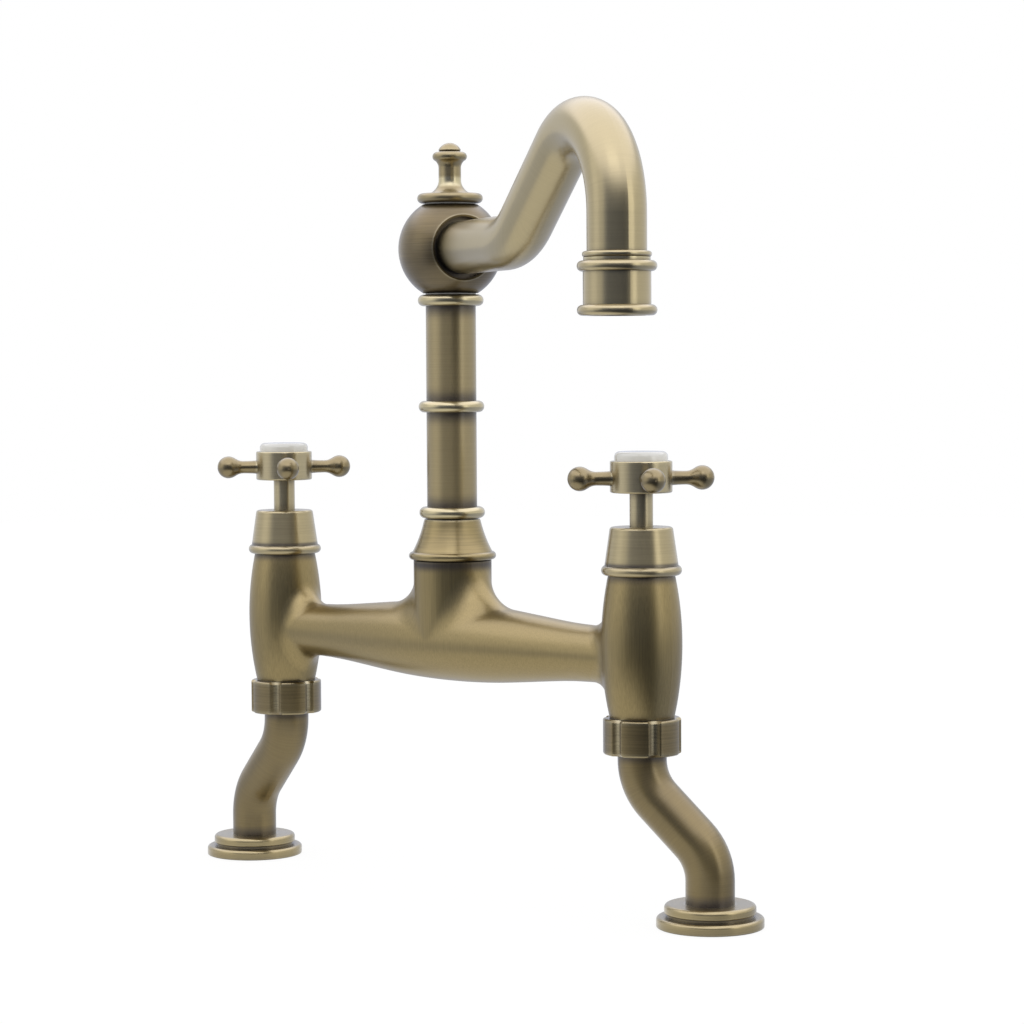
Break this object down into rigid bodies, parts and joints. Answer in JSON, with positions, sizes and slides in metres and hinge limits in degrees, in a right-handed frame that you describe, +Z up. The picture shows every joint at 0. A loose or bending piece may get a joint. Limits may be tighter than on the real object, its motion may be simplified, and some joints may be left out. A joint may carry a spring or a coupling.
{
  "type": "bridge kitchen faucet",
  "caption": "Bridge kitchen faucet with a hooked swivel spout on a beaded column, cross handles with porcelain indices, a cast bridge and cranked legs that swivel to suit the deck holes.",
  "frame": {"origin": "on the column's axis in the deck plane, where the flanges' undersides lie", "axes": "+Z up along the column, +X along the bridge towards the right-hand pillar, -Y towards the user"},
  "size_m": [0.3465, 0.1309, 0.3951],
  "materials": {
    "antique_brass": "brushed and patinated",
    "raw_brass": "machined",
    "porcelain": "glazed",
    "rubber": "matte",
    "fibre": "matte",
    "bearing_plastic": "smooth",
    "insert_plastic": "moulded",
    "valve_ceramic": "lapped",
    "steel": "brushed"
  },
  "bodies": {
    "bridge": {"bridge_casting": "antique_brass", "column_collar": "antique_brass", "column_seal": "rubber", "column_tube": "antique_brass", "column_bead_lower": "antique_brass", "column_bead_middle": "antique_brass", "column_bead_upper": "antique_brass", "swivel_core": "raw_brass", "core_o_ring_lower": "rubber", "core_o_ring_upper": "rubber", "swivel_washer_lower": "bearing_plastic", "swivel_washer_upper": "bearing_plastic", "finial": "antique_brass", "headwork_seal_left": "rubber", "headwork_body_left": "raw_brass", "fixed_disc_left": "valve_ceramic", "headwork_cover_left": "antique_brass", "union_nut_left": "antique_brass", "union_washer_left": "fibre", "headwork_seal_right": "rubber", "headwork_body_right": "raw_brass", "fixed_disc_right": "valve_ceramic", "headwork_cover_right": "antique_brass", "union_nut_right": "antique_brass", "union_washer_right": "fibre"},
    "spout": {"spout_ball": "antique_brass", "spout_tube": "antique_brass", "outlet_collar": "antique_brass", "aerator_washer": "rubber", "aerator_housing": "raw_brass", "aerator_insert": "insert_plastic", "aerator_screen": "steel"},
    "handle_left": {"handle_hub_left": "antique_brass", "handle_arms_left": "antique_brass", "handle_screw_left": "steel", "porcelain_index_left": "porcelain", "spindle_left": "raw_brass", "spindle_o_ring_left": "rubber", "moving_disc_left": "valve_ceramic"},
    "inlet_leg_left": {"leg_left": "antique_brass", "deck_flange_left": "antique_brass", "flange_gasket_left": "rubber", "deck_washer_left": "rubber", "clamp_washer_left": "steel", "backnut_left": "raw_brass"},
    "handle_right": {"handle_hub_right": "antique_brass", "handle_arms_right": "antique_brass", "handle_screw_right": "steel", "porcelain_index_right": "porcelain", "spindle_right": "raw_brass", "spindle_o_ring_right": "rubber", "moving_disc_right": "valve_ceramic"},
    "inlet_leg_right": {"leg_right": "antique_brass", "deck_flange_right": "antique_brass", "flange_gasket_right": "rubber", "deck_washer_right": "rubber", "clamp_washer_right": "steel", "backnut_right": "raw_brass"}
  },
  "joints": [
    {"name": "spout_swivel", "type": "hinge", "parent": "bridge", "child": "spout", "pos_m": [0, 0, 0.2821], "axis": [0, 0, 1], "continuous": true},
    {"name": "handle_turn_left", "type": "hinge", "parent": "bridge", "child": "handle_left", "pos_m": [-0.11, 0, 0.1852], "axis": [0, 0, 1], "range_deg": [0, 90]},
    {"name": "handle_turn_right", "type": "hinge", "parent": "bridge", "child": "handle_right", "pos_m": [0.11, 0, 0.1852], "axis": [0, 0, 1], "range_deg": [-90, 0]},
    {"name": "leg_swivel_left", "type": "hinge", "parent": "bridge", "child": "inlet_leg_left", "pos_m": [-0.11, 0, 0.075], "axis": [0, 0, 1], "continuous": true},
    {"name": "leg_swivel_right", "type": "hinge", "parent": "bridge", "child": "inlet_leg_right", "pos_m": [0.11, 0, 0.075], "axis": [0, 0, 1], "continuous": true}
  ]
}
